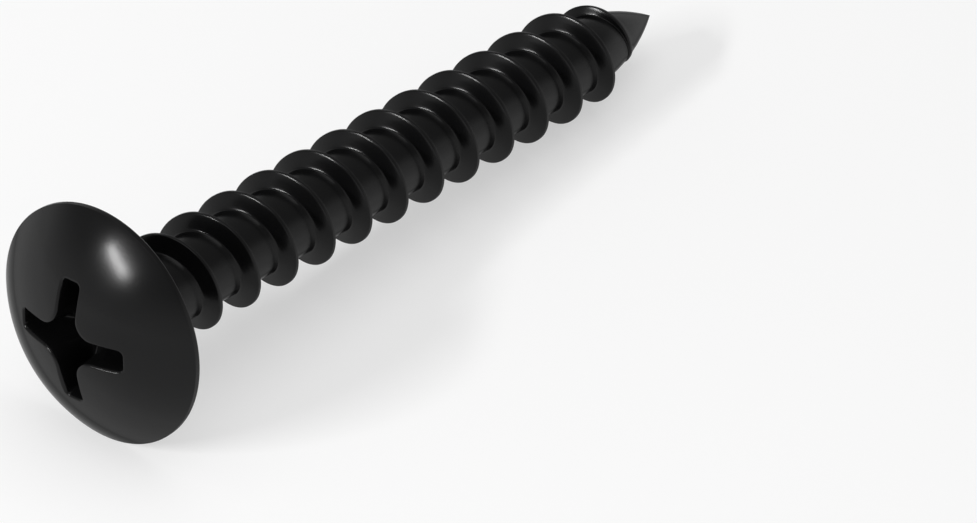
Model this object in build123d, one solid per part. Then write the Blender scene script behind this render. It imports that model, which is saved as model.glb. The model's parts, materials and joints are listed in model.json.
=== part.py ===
"""Truss head self-tapping screw with a cross recess, about 4.2 x 32 mm.

One cold-headed and thread-rolled piece of steel. It lies on a level surface as it comes to
rest: on the edge of its head and on the last full crests of its thread near the point.

The screw is first made on its own axis: the bearing face of the head is at x = 0, the head
is on the minus X side, and the point is at x = +under_head_length. It is then tilted and set
down, with z = 0 at the surface it lies on.
"""

from build123d import *
from math import atan, ceil, cos, degrees, pi, radians, sin, tan
import os

# Head
head_diameter = 9.53
rim_thickness = 0.30
head_height = 2.20
underside_boss_diameter = 5.6
underside_boss_height = 0.75

# Shank and thread
under_head_length = 31.75
crest_diameter = 4.24
root_diameter = 2.96
thread_pitch = 2.09
crest_width = 0.16
flank_angle = 26.0
neck_length = 1.2
lead_in_turns = 0.9

# Point
point_length = 5.4
thread_end_gap = 0.9

# Cross recess for a number 2 driver
recess_diameter = 4.9
recess_wing_width = 0.95
recess_depth = 1.75
recess_taper = 6.0

# Angles round the axis, from the side towards the top
thread_roll = 186.6
recess_roll = 5.0

# Clearances and counts of the construction
cut_clearance = 0.20
fin_sink = 0.15
fin_least_height = 0.04
fin_least_radius = 0.05
stretches_per_turn = 2
spans_per_stretch = 8
samples_per_turn = 180

# Places worked out from these sizes
head_radius = head_diameter / 2
dome_height = head_height - rim_thickness
dome_radius = (head_radius**2 + dome_height**2) / (2 * dome_height)
crest_radius = crest_diameter / 2
root_radius = root_diameter / 2
point_start = under_head_length - point_length
fin_start = neck_length
fin_end = under_head_length - thread_end_gap


def point_radius(x, full_radius):
    """Radius at x of a parabola that leaves the shank tangent and closes on the point."""
    run = min(max(x - point_start, 0), point_length) / point_length
    return full_radius * (1 - run**2)


def foot_radius(x):
    """Radius of the fin's foot at x, sunk a little way into the shank."""
    return max(point_radius(x, root_radius) - fin_sink, fin_least_radius)


def fin_crest_radius(x):
    """Radius of the thread's crest at x: it rises from the neck and follows the point."""
    rise = min((x - fin_start) / (lead_in_turns * thread_pitch), 1.0)
    eased_rise = rise * rise * (3 - 2 * rise)
    low = point_radius(x, root_radius) + fin_least_height
    full = point_radius(x, crest_radius)
    return low + (full - low) * eased_rise


def helix_point(x, radius, along=0.0):
    """A point at this radius on the right-hand thread line, shifted along the axis."""
    turn = radians(thread_roll) + 2 * pi * x / thread_pitch
    return Vector(x + along, radius * cos(turn), radius * sin(turn))


def make_blank():
    """The turned shape under the thread: dome, rim, boss, neck, shank and point."""
    with BuildPart() as blank:
        with BuildSketch(Plane.XY):
            with BuildLine():
                dome = RadiusArc((-head_height, 0), (-rim_thickness, head_radius), dome_radius)
                rim = Line(dome @ 1, (0, head_radius))
                face = Line(rim @ 1, (0, underside_boss_diameter / 2))
                boss = Line(face @ 1, (underside_boss_height, root_radius))
                shank = Line(boss @ 1, (point_start, root_radius))
                corner = (point_start + point_length / 2, root_radius)
                point = Bezier(shank @ 1, corner, (under_head_length, 0))
                Line(point @ 1, dome @ 0)
            make_face()
        revolve(axis=Axis.X)
    return blank.part


def fin_rail(start, end, radius_of, offset_of):
    """One edge of the fin from x = start to x = end, as a smooth curve along the helix."""
    step = (end - start) / spans_per_stretch
    places = [start + step * i for i in range(-1, spans_per_stretch + 2)]
    points = [helix_point(x, radius_of(x), offset_of(x)) for x in places]
    tangents = [points[2] - points[0], points[-1] - points[-3]]
    return Edge.make_spline(points[1:-1], tangents=tangents)


def make_fin():
    """The thread as one solid fin, made of short stretches between four helical rails."""
    spread = tan(radians(flank_angle))

    def crest_offset(side):
        return lambda x: side * crest_width / 2

    def foot_offset(side):
        return lambda x: side * (crest_width / 2 + (fin_crest_radius(x) - foot_radius(x)) * spread)

    count = ceil((fin_end - fin_start) / thread_pitch * stretches_per_turn)
    ends = [fin_start + (fin_end - fin_start) * i / count for i in range(count + 1)]
    faces = []
    for start, end in zip(ends, ends[1:]):
        rails = [
            fin_rail(start, end, fin_crest_radius, crest_offset(-1)),
            fin_rail(start, end, fin_crest_radius, crest_offset(1)),
            fin_rail(start, end, foot_radius, foot_offset(1)),
            fin_rail(start, end, foot_radius, foot_offset(-1)),
        ]
        for rail, neighbour in zip(rails, rails[1:] + rails[:1]):
            faces.append(Face.make_surface_from_curves(rail, neighbour))
        if start == ends[0]:
            faces.append(Face(Wire.make_polygon([rail @ 0 for rail in rails], close=True)))
        if end == ends[-1]:
            faces.append(Face(Wire.make_polygon([rail @ 1 for rail in rails], close=True)))
    return Solid(Shell(faces))


def make_recess():
    """The cross recess: two crossed wings that narrow with depth."""
    with BuildPart() as recess:
        with BuildSketch(Plane.YZ.offset(-head_height - cut_clearance)):
            Rectangle(recess_diameter, recess_wing_width, rotation=recess_roll)
            Rectangle(recess_wing_width, recess_diameter, rotation=recess_roll)
        extrude(amount=recess_depth + cut_clearance, taper=recess_taper)
    return recess.part


def resting_tilt():
    """The tilt at which the head's edge and the first crest to touch are level."""
    count = round((fin_end - fin_start) / thread_pitch * samples_per_turn)
    steepness = []
    for i in range(count + 1):
        x = fin_start + (fin_end - fin_start) * i / count
        crest = helix_point(x, fin_crest_radius(x))
        steepness.append((head_radius + crest.Z) / (x + crest_width / 2))
    return degrees(atan(min(steepness)))


def make_screw():
    """The whole screw on its own axis."""
    return make_blank() + make_fin() - make_recess()


def lay_down(screw):
    """Tilt the screw onto its head's edge and thread, and centre it over the origin."""
    lying = Rot(0, resting_tilt(), 0) * screw
    box = lying.bounding_box()
    return Pos(-(box.min.X + box.max.X) / 2, -(box.min.Y + box.max.Y) / 2, -box.min.Z) * lying


os.makedirs("parts", exist_ok=True)
screw = lay_down(make_screw())
screw.label = "screw"
export_step(screw, "parts/screw.step")
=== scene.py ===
"""A black truss head self-tapping screw, lying on a white studio floor.

The screw is one closed surface, worked out in the screw's own frame: x runs along its axis,
with the bearing face of the head at x = 0 and the point at the positive end, r is the distance
from the axis, and the angle turns round it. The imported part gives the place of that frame.
"""

import json
import math
import bpy
import numpy as np
from bpy.props import FloatProperty, FloatVectorProperty, IntProperty, PointerProperty
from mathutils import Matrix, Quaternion, Vector


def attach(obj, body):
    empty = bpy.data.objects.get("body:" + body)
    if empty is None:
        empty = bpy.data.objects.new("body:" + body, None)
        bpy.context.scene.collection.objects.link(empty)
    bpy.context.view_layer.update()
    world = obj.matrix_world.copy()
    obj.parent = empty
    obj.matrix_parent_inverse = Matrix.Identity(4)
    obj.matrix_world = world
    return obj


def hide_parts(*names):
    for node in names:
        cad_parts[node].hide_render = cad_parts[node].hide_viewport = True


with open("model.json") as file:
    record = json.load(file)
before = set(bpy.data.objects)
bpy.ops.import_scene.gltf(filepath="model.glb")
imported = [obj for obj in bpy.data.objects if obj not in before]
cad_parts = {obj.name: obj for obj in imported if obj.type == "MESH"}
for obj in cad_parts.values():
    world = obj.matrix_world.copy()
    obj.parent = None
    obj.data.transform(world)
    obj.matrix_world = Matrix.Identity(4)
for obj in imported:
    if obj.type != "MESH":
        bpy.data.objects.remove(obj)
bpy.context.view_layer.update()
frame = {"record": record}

bl_info = {
    "name": "Self-tapping screw",
    "version": (1, 0, 0),
    "blender": (4, 5, 0),
    "location": "View3D > Sidebar > Screw",
    "description": "Builds a black truss head self-tapping screw on a white studio floor",
    "category": "Add Mesh",
}

MM = 0.001

# Fine shapes that no property sets
RECESS_CONE_RISE = 0.30 * MM
BOSS_SAG = 0.12 * MM
BOSS_TO_THREAD = 0.1 * MM
LEAST_BEADED_HEIGHT = 0.1 * MM
WING_TIP_ROUNDING = 0.45

# Counts and shares of the surface's grid
HALVINGS = 40
OUTLINE_SAMPLES = 8001
EVEN_SHARE = 0.5
FLOOR_ROWS = 8
WALL_ROWS = 10
DOME_ROWS = 40
DOME_EDGE_ROWS = 8
FACE_EDGE_ROWS = 9
FACE_ROWS = 6
BOSS_ROWS = 8
NECK_ROWS = 4
SPARE_TURNS = 2


def mount(name):
    """The place in metres and the unit axis of one of the part's mounts."""
    found = next(m for m in frame["record"]["mounts"] if m["name"] == name)
    axis = np.array(found["axis"], float)
    return np.array(found["pos_m"], float), axis / np.linalg.norm(axis)


def length(label, words, default_mm):
    """A length property with its default given in millimetres."""
    return FloatProperty(name=label, description=words, default=default_mm * MM, unit="LENGTH", precision=5)


class ScrewSizes(bpy.types.PropertyGroup):
    """The screw's sizes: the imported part's, with the finer shapes as the photograph shows them."""

    head_diameter: length("Head diameter", "Outer diameter of the head", 9.53)
    head_height: length("Head height", "From the bearing face to the top of the dome", 2.20)
    rim_thickness: length("Rim thickness", "From the bearing face to where the dome starts", 0.30)
    dome_edge: length("Dome edge", "Radius where the dome turns into the rim", 0.03)
    face_edge: length("Face edge", "Radius where the rim turns into the bearing face", 0.14)
    boss_diameter: length("Boss diameter", "Foot of the cone under the head", 5.6)
    boss_height: length("Boss height", "Length of the cone under the head", 0.75)
    under_head: length("Length under the head", "From the bearing face to the point", 31.75)
    crest_diameter: length("Thread diameter", "Over the crests", 4.24)
    root_diameter: length("Root diameter", "At the bottom of the thread", 2.96)
    pitch: length("Pitch", "Distance from one turn to the next", 2.09)
    crest_width: length("Crest width", "Flat land along the top of the thread", 0.16)
    crest_rounding: length("Crest rounding", "Radius on both edges of the crest", 0.035)
    flank_angle: FloatProperty(
        name="Flank angle",
        description="Slope of each side of the thread",
        default=math.radians(21),
        subtype="ANGLE",
    )
    neck_length: length("Neck length", "From the bearing face to the start of the thread", 1.2)
    lead_in_turns: FloatProperty(name="Lead-in", description="Turns over which the thread rises", default=1.05)
    run_out_turns: FloatProperty(
        name="Run-out", description="Turns over which the thread dies out", default=0.77
    )
    point_length: length("Point length", "Length over which the shank closes", 5.1)
    crest_point_length: length("Crest point length", "Length over which the crests close", 5.8)
    thread_end_gap: length("Thread end gap", "Bare length at the very tip", 2.15)
    thread_roll: FloatProperty(
        name="Thread roll",
        description="Angle of the thread line at the bearing face",
        default=math.radians(216.4),
        subtype="ANGLE",
    )
    recess_diameter: length("Recess diameter", "Across two opposite wings at the dome", 4.95)
    recess_width: length("Wing width", "Width of a recess wing at the dome", 0.84)
    recess_depth: length("Recess depth", "From the top of the dome to the wing floors", 1.75)
    recess_fillet: length("Recess fillet", "Radius between two wings", 0.80)
    recess_edge: length("Recess edge", "Rounding of the recess where it meets the dome", 0.07)
    recess_end_slope: FloatProperty(
        name="Wing end slope",
        description="Slope of the wing ends towards the axis",
        default=math.radians(17),
        subtype="ANGLE",
    )
    recess_side_slope: FloatProperty(
        name="Wing side slope",
        description="Slope of the wing sides",
        default=math.radians(5),
        subtype="ANGLE",
    )
    recess_roll: FloatProperty(
        name="Recess roll",
        description="Angle of the first recess wing",
        default=math.radians(-4),
        subtype="ANGLE",
    )
    columns: IntProperty(name="Columns", description="Points round the screw", default=216, min=24)


class CoatFinish(bpy.types.PropertyGroup):
    """The black coat."""

    colour: FloatVectorProperty(
        name="Colour",
        description="Colour of the coat",
        subtype="COLOR",
        default=(0.0022, 0.0022, 0.0023),
        min=0,
        max=1,
    )
    worn_colour: FloatVectorProperty(
        name="Thin coat colour",
        description="Colour where the coat is a little thinner",
        subtype="COLOR",
        default=(0.0045, 0.0045, 0.0047),
        min=0,
        max=1,
    )
    roughness: FloatProperty(name="Roughness", description="Roughness of the coat", default=0.21, min=0, max=1)
    shine: FloatProperty(
        name="Shine", description="How much the coat mirrors head on", default=0.19, min=0, max=1
    )


class StudioSettings(bpy.types.PropertyGroup):
    """The camera, the floor and the lamps."""

    focal_length: FloatProperty(
        name="Focal length", description="In millimetres on a 36 mm sensor", default=208.9
    )
    azimuth: FloatProperty(
        name="Azimuth",
        description="Direction of view, from +Y towards +X",
        default=math.radians(49.58),
        subtype="ANGLE",
    )
    elevation: FloatProperty(
        name="Elevation",
        description="How far the camera looks down",
        default=math.radians(37.37),
        subtype="ANGLE",
    )
    distance: length("Distance", "From the camera to the floor along the view", 217.75)
    aim_x: length("Aim X", "Where the middle of the view meets the floor", 1.889)
    aim_y: length("Aim Y", "Where the middle of the view meets the floor", -4.259)
    floor_colour: FloatVectorProperty(
        name="Floor",
        description="Colour of the floor",
        subtype="COLOR",
        default=(0.93, 0.93, 0.93),
        min=0,
        max=1,
    )
    floor_glow: FloatProperty(
        name="Floor glow",
        description="Share of plain white in the floor as it is seen",
        default=0.5,
        min=0,
        max=1,
    )


def fillet_union(first, second, radius):
    """Joins two distance fields: the nearer one, with a round fillet where both are near."""
    near_first = np.maximum(radius - first, 0)
    near_second = np.maximum(radius - second, 0)
    return np.maximum(radius, np.minimum(first, second)) - np.hypot(near_first, near_second)


def cross_distance(sizes, r, turn, depth):
    """Distance outside the cross recess at a depth below the top of the dome.

    Each wing is a rounded bar. Its half length shrinks with depth by the end slope and its
    half width by the side slope, and the two bars are joined with a round fillet.
    """
    dome_drop = dome_depth(sizes, sizes.recess_diameter / 2)
    below = depth - dome_drop
    half_length = sizes.recess_diameter / 2 - below * math.tan(sizes.recess_end_slope)
    half_width = sizes.recess_width / 2 - below * math.tan(sizes.recess_side_slope)
    corner = half_width * WING_TIP_ROUNDING
    along = np.abs(r * np.cos(turn - sizes.recess_roll))
    across = np.abs(r * np.sin(turn - sizes.recess_roll))

    def bar(u, v):
        du = u - (half_length - corner)
        dv = v - (half_width - corner)
        outside = np.hypot(np.maximum(du, 0), np.maximum(dv, 0))
        return outside + np.minimum(np.maximum(du, dv), 0) - corner

    return fillet_union(bar(along, across), bar(across, along), sizes.recess_fillet)


def dome_radius(sizes):
    """Radius of the sphere that the dome is cut from."""
    height = sizes.head_height - sizes.rim_thickness
    return ((sizes.head_diameter / 2) ** 2 + height**2) / (2 * height)


def dome_depth(sizes, r):
    """Depth of the dome's surface below its top at radius r."""
    radius = dome_radius(sizes)
    return radius - np.sqrt(radius**2 - r**2)


def rim_rows(sizes, turn):
    """The rim: an arc off the dome, a straight band and an arc onto the bearing face."""
    outer = sizes.head_diameter / 2
    near = dome_radius(sizes) - sizes.dome_edge
    rise = math.asin((outer - sizes.dome_edge) / near)
    middle = dome_radius(sizes) - sizes.head_height - near * math.cos(rise)
    rows = []
    for bend in np.linspace(rise, math.pi / 2, DOME_EDGE_ROWS):
        r = outer - sizes.dome_edge * (1 - math.sin(bend))
        rows.append((middle - sizes.dome_edge * math.cos(bend) + 0 * turn, r + 0 * turn))
    for bend in np.linspace(0, math.pi / 2, FACE_EDGE_ROWS):
        r = outer - sizes.face_edge * (1 - math.cos(bend))
        rows.append((-sizes.face_edge * (1 - math.sin(bend)) + 0 * turn, r + 0 * turn))
    return rows


def solve_radius(field, turn, outer):
    """The radius where a field that grows outwards is zero, by halving, for all turns at once."""
    low = np.zeros_like(turn)
    high = np.full_like(turn, outer)
    for _ in range(HALVINGS):
        middle = (low + high) / 2
        inside = field(middle, turn) < 0
        low = np.where(inside, middle, low)
        high = np.where(inside, high, middle)
    return (low + high) / 2


def column_turns(sizes):
    """Angles of the columns: even steps of the recess outline's length mixed with even angles."""
    fine = np.linspace(0, 2 * math.pi, OUTLINE_SAMPLES)
    outline = solve_radius(
        lambda r, turn: cross_distance(sizes, r, turn, dome_depth(sizes, r)), fine, sizes.head_diameter / 2
    )
    step = np.hypot(np.diff(outline * np.cos(fine)), np.diff(outline * np.sin(fine)))
    share = np.concatenate(([0], np.cumsum(step)))
    mixed = (1 - EVEN_SHARE) * share / share[-1] + EVEN_SHARE * fine / fine[-1]
    return np.interp(np.linspace(0, 1, sizes.columns + 1), mixed, fine)


def recess_rows(sizes, turn):
    """The recess from its centre out: conical floor, tapered walls and rounded top edge."""
    outer = sizes.head_diameter / 2
    depth = sizes.recess_depth
    edge = sizes.recess_edge
    floor = solve_radius(lambda r, t: cross_distance(sizes, r, t, depth), turn, outer)
    rows = []
    for share in np.linspace(0, 1, FLOOR_ROWS)[:-1]:
        x = -sizes.head_height + depth + RECESS_CONE_RISE * (1 - share)
        rows.append((x + 0 * turn, floor * share))
    rim = solve_radius(lambda r, t: cross_distance(sizes, r, t, dome_depth(sizes, r)) - edge, turn, outer)
    top = dome_depth(sizes, rim) + edge
    for share in np.linspace(0, 1, WALL_ROWS):
        level = depth + (top - depth) * share
        wall = solve_radius(lambda r, t: cross_distance(sizes, r, t, level), turn, outer)
        rows.append((-sizes.head_height + level, wall))
    for bend in np.radians((22.5, 45, 67.5, 90)):
        level = dome_depth(sizes, rim) + edge * (1 - math.sin(bend))
        out = edge * (1 - math.cos(bend))
        lip = solve_radius(lambda r, t: cross_distance(sizes, r, t, level) - out, turn, outer)
        rows.append((-sizes.head_height + level, lip))
    return rows


def head_rows(sizes, turn, recess_edge_radius):
    """The dome from the recess to the rim, the rounded rim, the bearing face, boss and neck."""
    rim = rim_rows(sizes, turn)
    rows = []
    for share in np.linspace(0, 1, DOME_ROWS)[1:-1]:
        r = recess_edge_radius + (rim[0][1] - recess_edge_radius) * share
        rows.append((-sizes.head_height + dome_depth(sizes, r), r))
    rows += rim
    face_end = sizes.head_diameter / 2 - sizes.face_edge
    boss = sizes.boss_diameter / 2
    root = sizes.root_diameter / 2
    for share in np.linspace(0, 1, FACE_ROWS)[1:]:
        rows.append((0 * turn, face_end + (boss - face_end) * share + 0 * turn))
    for share in np.linspace(0, 1, BOSS_ROWS)[1:]:
        sag = BOSS_SAG * math.sin(math.pi * share)
        rows.append((sizes.boss_height * share + 0 * turn, boss + (root - boss) * share - sag + 0 * turn))
    for share in np.linspace(0, 1, NECK_ROWS)[1:]:
        x = sizes.boss_height + (thread_start(sizes) - sizes.boss_height) * share
        rows.append((x + 0 * turn, root + 0 * turn))
    return rows


def thread_start(sizes):
    """Where the rows that follow the thread begin, just past the boss."""
    return sizes.boss_height + BOSS_TO_THREAD


def eased(share):
    """Goes smoothly from 0 to 1 as the share does, and stays there."""
    held = np.clip(share, 0, 1)
    return held * held * (3 - 2 * held)


def closing_radius(sizes, x, radius, point_length):
    """Radius at x: full on the shank, then a parabola that closes on the point."""
    run = np.clip((x - sizes.under_head + point_length) / point_length, 0, 1)
    return radius * (1 - run**2)


def shank_radius(sizes, x):
    """Radius of the shank under the thread at x."""
    return closing_radius(sizes, x, sizes.root_diameter / 2, sizes.point_length)


def thread_height(sizes, x):
    """Height of the thread over the root at x: it rises after the neck and dies out at the point."""
    rise = eased((x - sizes.neck_length) / (sizes.lead_in_turns * sizes.pitch))
    fall = eased((sizes.under_head - sizes.thread_end_gap - x) / (sizes.run_out_turns * sizes.pitch))
    crest = closing_radius(sizes, x, sizes.crest_diameter / 2, sizes.crest_point_length)
    return np.maximum(crest - shank_radius(sizes, x), 0) * rise * fall


def thread_section(sizes):
    """Half of the thread's section, from the middle of its crest to the middle of the groove.

    Returns four rows of numbers, one column per point: the part of the distance along the axis
    that grows with the thread's height, the fixed part, the share of the thread's height, and
    how far the point drops below that.
    """
    land = sizes.crest_width / 2
    bead = sizes.crest_rounding
    points = [
        (0.0, 0.0, 1.0, 0.0),
        (0.0, land - bead, 1.0, 0.0),
        (0.0, land - bead * 0.3, 1.0, bead * 0.1),
        (0.0, land, 1.0, bead * 0.45),
        (0.12, land, 0.88, 0.0),
        (0.45, land, 0.55, 0.0),
        (0.75, land, 0.25, 0.0),
        (0.88, land, 0.13, 0.0),
        (0.97, land, 0.065, 0.0),
        (1.08, land, 0.02, 0.0),
        (1.22, land, 0.0, 0.0),
    ]
    return np.array(points).T


def thread_rows(sizes, turn):
    """The threaded shank and the point, as rows that follow the helix.

    The crest lies at x = pitch * (turn number + angle / full turn). Every row stands at a set
    place across the section of its turn, so a row at the last column meets the row one turn on
    at the first column. Past both ends x is held at the end, where the rows close up.
    """
    start = thread_start(sizes)
    end = sizes.under_head
    foot, along, share, drop = thread_section(sizes)
    groove = np.array((0.35, 0.75))
    turns = int(math.ceil(end / sizes.pitch)) + SPARE_TURNS
    number = np.arange(-SPARE_TURNS, turns)[:, None, None]
    line = (turn - sizes.thread_roll) / (2 * math.pi)
    middle = (number + line[None, None, :]) * sizes.pitch
    height = thread_height(sizes, np.clip(middle, start, end))
    reach = height * math.tan(sizes.flank_angle)
    out = along[None, :, None] + foot[None, :, None] * reach
    up = np.maximum(height * share[None, :, None] - drop[None, :, None] * (height > LEAST_BEADED_HEIGHT), 0)
    last = out[:, -1:, :]
    gap = last + (sizes.pitch / 2 - last) * groove[None, :, None]
    out = np.concatenate((out, gap), axis=1)
    up = np.concatenate((up, np.zeros_like(gap)), axis=1)
    offsets = np.concatenate((-out[:, :0:-1], out), axis=1)
    heights = np.concatenate((up[:, :0:-1], up), axis=1)
    x = np.clip(middle + offsets, start, end)
    r = shank_radius(sizes, x) + heights * (x > start) * (x < end)
    per_turn = x.shape[1]
    return x.reshape(-1, turn.size), r.reshape(-1, turn.size), per_turn


def weld(points, rows_per_turn, first_thread_row):
    """Closes the grid round the screw and drops what has no area.

    In the head the last column is the first one. In the thread it is the first column of the
    row one turn further on. Points in the same place become one, and triangles with two equal
    corners are left out.
    """
    rows = points.shape[0]
    points[:first_thread_row, -1] = points[:first_thread_row, 0]
    points[first_thread_row : rows - rows_per_turn, -1] = points[first_thread_row + rows_per_turn :, 0]
    points = points[: rows - rows_per_turn]
    rows, columns = points.shape[:2]
    places, names = np.unique(points.reshape(-1, 3) + 0.0, axis=0, return_inverse=True)
    names = names.reshape(rows, columns)
    a, b = names[:-1, :-1].ravel(), names[1:, :-1].ravel()
    c, d = names[1:, 1:].ravel(), names[:-1, 1:].ravel()
    faces = np.concatenate((np.stack((a, b, c), 1), np.stack((a, c, d), 1)))
    whole = (faces[:, 0] != faces[:, 1]) & (faces[:, 1] != faces[:, 2]) & (faces[:, 2] != faces[:, 0])
    faces = faces[whole]
    used, faces = np.unique(faces, return_inverse=True)
    return places[used], faces.reshape(-1, 3)


def face_outwards(points, faces):
    """Turns all faces round if the volume that they enclose comes out negative."""
    a, b, c = (points[faces[:, k]] for k in range(3))
    if np.einsum("ij,ij->", a, np.cross(b, c)) < 0:
        return faces[:, ::-1]
    return faces


def new_mesh_object(name, points, faces):
    """A mesh object at the origin from arrays of points and triangles."""
    mesh = bpy.data.meshes.new(name)
    mesh.vertices.add(len(points))
    mesh.vertices.foreach_set("co", np.ascontiguousarray(points, np.float32).ravel())
    mesh.loops.add(faces.size)
    mesh.loops.foreach_set("vertex_index", np.ascontiguousarray(faces, np.int32).ravel())
    mesh.polygons.add(len(faces))
    mesh.polygons.foreach_set("loop_start", np.arange(0, faces.size, 3, dtype=np.int32))
    mesh.update(calc_edges=True)
    mesh.validate()
    mesh.shade_smooth()
    piece = bpy.data.objects.new(name, mesh)
    bpy.context.scene.collection.objects.link(piece)
    return piece


def screw_frame(sizes):
    """Origin at the middle of the bearing face, and the three axes of the screw's own frame."""
    top, _ = mount("drive_recess")
    _, along = mount("thread")
    side = np.array((0.0, 1.0, 0.0))
    up = np.cross(along, side)
    return top + sizes.head_height * along, along, side, up


def coat_material(finish):
    """Smooth black coat: cloudy changes of colour and gloss, a fine grain, and less shine edge on."""
    material = bpy.data.materials.new("black_coat")
    material.use_nodes = True
    nodes = material.node_tree.nodes
    links = material.node_tree.links
    shader = nodes["Principled BSDF"]
    place = nodes.new("ShaderNodeTexCoord")
    cloud = nodes.new("ShaderNodeTexNoise")
    cloud.inputs["Scale"].default_value = 420
    cloud.inputs["Detail"].default_value = 4
    colour = nodes.new("ShaderNodeMix")
    colour.data_type = "RGBA"
    colour.inputs["A"].default_value = (*finish.colour, 1)
    colour.inputs["B"].default_value = (*finish.worn_colour, 1)
    gloss = nodes.new("ShaderNodeMapRange")
    gloss.inputs["To Min"].default_value = finish.roughness - 0.03
    gloss.inputs["To Max"].default_value = finish.roughness + 0.03
    edge_on = nodes.new("ShaderNodeLayerWeight")
    edge_on.inputs["Blend"].default_value = 0.5
    shine = nodes.new("ShaderNodeMapRange")
    shine.inputs["From Min"].default_value = 0.42
    shine.inputs["From Max"].default_value = 0.72
    shine.inputs["To Min"].default_value = finish.shine
    shine.inputs["To Max"].default_value = finish.shine * 0.06
    links.new(edge_on.outputs["Facing"], shine.inputs["Value"])
    links.new(shine.outputs["Result"], shader.inputs["Specular IOR Level"])
    grain = nodes.new("ShaderNodeTexNoise")
    grain.inputs["Scale"].default_value = 9000
    grain.inputs["Detail"].default_value = 2
    bump = nodes.new("ShaderNodeBump")
    bump.inputs["Strength"].default_value = 0.05
    bump.inputs["Distance"].default_value = 0.00002
    links.new(place.outputs["Object"], cloud.inputs["Vector"])
    links.new(place.outputs["Object"], grain.inputs["Vector"])
    links.new(cloud.outputs["Fac"], colour.inputs["Factor"])
    links.new(cloud.outputs["Fac"], gloss.inputs["Value"])
    links.new(colour.outputs["Result"], shader.inputs["Base Color"])
    links.new(gloss.outputs["Result"], shader.inputs["Roughness"])
    links.new(grain.outputs["Fac"], bump.inputs["Height"])
    links.new(bump.outputs["Normal"], shader.inputs["Normal"])
    return material


class SCREW_OT_body(bpy.types.Operator):
    """Add the screw: head with cross recess, neck, thread and point as one closed surface"""

    bl_idname = "screw.body"
    bl_label = "Screw"

    def execute(self, context):
        sizes = context.scene.screw_sizes
        turn = column_turns(sizes)
        rows = recess_rows(sizes, turn)
        rows += head_rows(sizes, turn, rows[-1][1])
        head_x = np.array([x for x, _ in rows])
        head_r = np.array([r for _, r in rows])
        thread_x, thread_r, per_turn = thread_rows(sizes, turn)
        x = np.concatenate((head_x, thread_x))
        r = np.concatenate((head_r, thread_r))
        origin, along, side, up = screw_frame(sizes)
        points = (
            origin
            + x[..., None] * along
            + (r * np.cos(turn))[..., None] * side
            + (r * np.sin(turn))[..., None] * up
        )
        points, faces = weld(points, per_turn, len(rows))
        piece = new_mesh_object("threaded_screw", points, face_outwards(points, faces))
        piece.data.materials.append(coat_material(context.scene.coat_finish))
        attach(piece, "root")
        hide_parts("screw")
        return {"FINISHED"}


def floor_material(studio):
    """White floor that takes the screw's shadow, lifted towards plain white where it is seen."""
    material = bpy.data.materials.new("floor_white")
    material.use_nodes = True
    nodes = material.node_tree.nodes
    links = material.node_tree.links
    shader = nodes["Principled BSDF"]
    shader.inputs["Base Color"].default_value = (*studio.floor_colour, 1)
    shader.inputs["Roughness"].default_value = 0.9
    shader.inputs["Specular IOR Level"].default_value = 0.0
    path = nodes.new("ShaderNodeLightPath")
    camera_or_glossy = nodes.new("ShaderNodeMath")
    camera_or_glossy.operation = "MAXIMUM"
    seen = nodes.new("ShaderNodeMath")
    seen.operation = "MAXIMUM"
    share = nodes.new("ShaderNodeMath")
    share.operation = "MULTIPLY"
    share.inputs[1].default_value = studio.floor_glow
    glow = nodes.new("ShaderNodeEmission")
    mix = nodes.new("ShaderNodeMixShader")
    links.new(path.outputs["Is Camera Ray"], camera_or_glossy.inputs[0])
    links.new(path.outputs["Is Glossy Ray"], camera_or_glossy.inputs[1])
    links.new(camera_or_glossy.outputs["Value"], seen.inputs[0])
    links.new(path.outputs["Is Transmission Ray"], seen.inputs[1])
    links.new(seen.outputs["Value"], share.inputs[0])
    links.new(share.outputs["Value"], mix.inputs["Fac"])
    links.new(shader.outputs["BSDF"], mix.inputs[1])
    links.new(glow.outputs["Emission"], mix.inputs[2])
    links.new(mix.outputs["Shader"], nodes["Material Output"].inputs["Surface"])
    return material


def area_lamp(name, place, aim, size, power, roll=0.0):
    """A rectangular soft lamp at a place, turned towards a point and rolled about that line."""
    data = bpy.data.lights.new(name, "AREA")
    data.shape = "RECTANGLE"
    data.size, data.size_y = size
    data.energy = power
    lamp = bpy.data.objects.new(name, data)
    lamp.location = place
    facing = (Vector(aim) - Vector(place)).to_track_quat("-Z", "Y")
    lamp.rotation_euler = (facing @ Quaternion((0, 0, 1), roll)).to_euler()
    bpy.context.scene.collection.objects.link(lamp)


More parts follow.
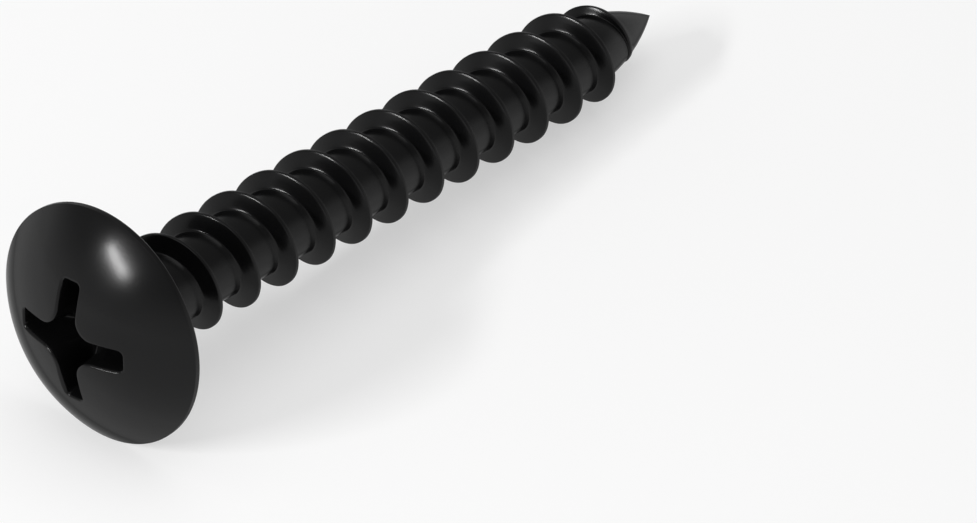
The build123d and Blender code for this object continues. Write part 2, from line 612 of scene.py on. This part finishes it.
class SCREW_OT_stage(bpy.types.Operator):
    """Add the white floor, the lamps, the world and the camera"""

    bl_idname = "screw.stage"
    bl_label = "Studio"

    def execute(self, context):
        studio = context.scene.studio_settings
        self.add_floor(studio)
        self.add_lamps()
        self.add_world()
        self.add_camera(studio)
        context.scene.view_settings.view_transform = "Standard"
        return {"FINISHED"}

    def add_floor(self, studio):
        """A flat square round the screw."""
        reach = 0.6
        corners = np.array(((-reach, -reach, 0), (reach, -reach, 0), (reach, reach, 0), (-reach, reach, 0)))
        floor = new_mesh_object("floor", corners, np.array(((0, 1, 2), (0, 2, 3))))
        floor.data.materials.append(floor_material(studio))

    def add_lamps(self):
        """A faint soft lamp overhead and a strip that gives the dome its highlight."""
        middle = (0, 0, 0)
        dome = (-0.015, 0, 0.0085)
        strip_roll = math.radians(-26)
        area_lamp("overhead", (0.05, 0.0, 0.5), middle, (0.5, 0.5), 0.9)
        area_lamp("strip", (-0.264, 0.06, 0.162), dome, (0.11, 0.018), 0.62, strip_roll)

    def add_world(self):
        """White light from all round, brighter low down than overhead."""
        world = bpy.data.worlds.new("studio")
        bpy.context.scene.world = world
        world.use_nodes = True
        nodes = world.node_tree.nodes
        links = world.node_tree.links
        sky = nodes["Background"]
        sky.inputs["Color"].default_value = (1, 1, 1, 1)
        direction = nodes.new("ShaderNodeTexCoord")
        height = nodes.new("ShaderNodeSeparateXYZ")
        strength = nodes.new("ShaderNodeMapRange")
        strength.inputs["From Min"].default_value = 0.08
        strength.inputs["From Max"].default_value = 0.40
        strength.inputs["To Min"].default_value = 0.9
        strength.inputs["To Max"].default_value = 0.35
        links.new(direction.outputs["Generated"], height.inputs["Vector"])
        links.new(height.outputs["Z"], strength.inputs["Value"])
        links.new(strength.outputs["Result"], sky.inputs["Strength"])

    def add_camera(self, studio):
        """A level camera that looks down at the floor point in the middle of the view."""
        data = bpy.data.cameras.new("camera")
        data.lens = studio.focal_length
        data.sensor_width = 36
        data.sensor_fit = "HORIZONTAL"
        data.clip_start = 0.01
        camera = bpy.data.objects.new("camera", data)
        view = Vector(
            (
                math.sin(studio.azimuth) * math.cos(studio.elevation),
                math.cos(studio.azimuth) * math.cos(studio.elevation),
                -math.sin(studio.elevation),
            )
        )
        camera.location = Vector((studio.aim_x, studio.aim_y, 0)) - view * studio.distance
        camera.rotation_euler = view.to_track_quat("-Z", "Y").to_euler()
        bpy.context.scene.collection.objects.link(camera)
        bpy.context.scene.camera = camera


class SCREW_PT_panel(bpy.types.Panel):
    """The sidebar panel with the screw's operators and settings"""

    bl_label = "Self-tapping screw"
    bl_space_type = "VIEW_3D"
    bl_region_type = "UI"
    bl_category = "Screw"

    def draw(self, context):
        layout = self.layout
        for operator in (SCREW_OT_body, SCREW_OT_stage):
            layout.operator(operator.bl_idname)
        for group in (context.scene.screw_sizes, context.scene.coat_finish, context.scene.studio_settings):
            box = layout.box()
            for name in group.__annotations__:
                box.prop(group, name)


CLASSES = (ScrewSizes, CoatFinish, StudioSettings, SCREW_OT_body, SCREW_OT_stage, SCREW_PT_panel)


def register():
    for item in CLASSES:
        bpy.utils.register_class(item)
    bpy.types.Scene.screw_sizes = PointerProperty(type=ScrewSizes)
    bpy.types.Scene.coat_finish = PointerProperty(type=CoatFinish)
    bpy.types.Scene.studio_settings = PointerProperty(type=StudioSettings)


def unregister():
    del bpy.types.Scene.screw_sizes
    del bpy.types.Scene.coat_finish
    del bpy.types.Scene.studio_settings
    for item in reversed(CLASSES):
        bpy.utils.unregister_class(item)


def main():
    """Registers the classes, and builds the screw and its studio."""
    register()
    bpy.ops.screw.body()
    bpy.ops.screw.stage()


if __name__ == "__main__":
    main()
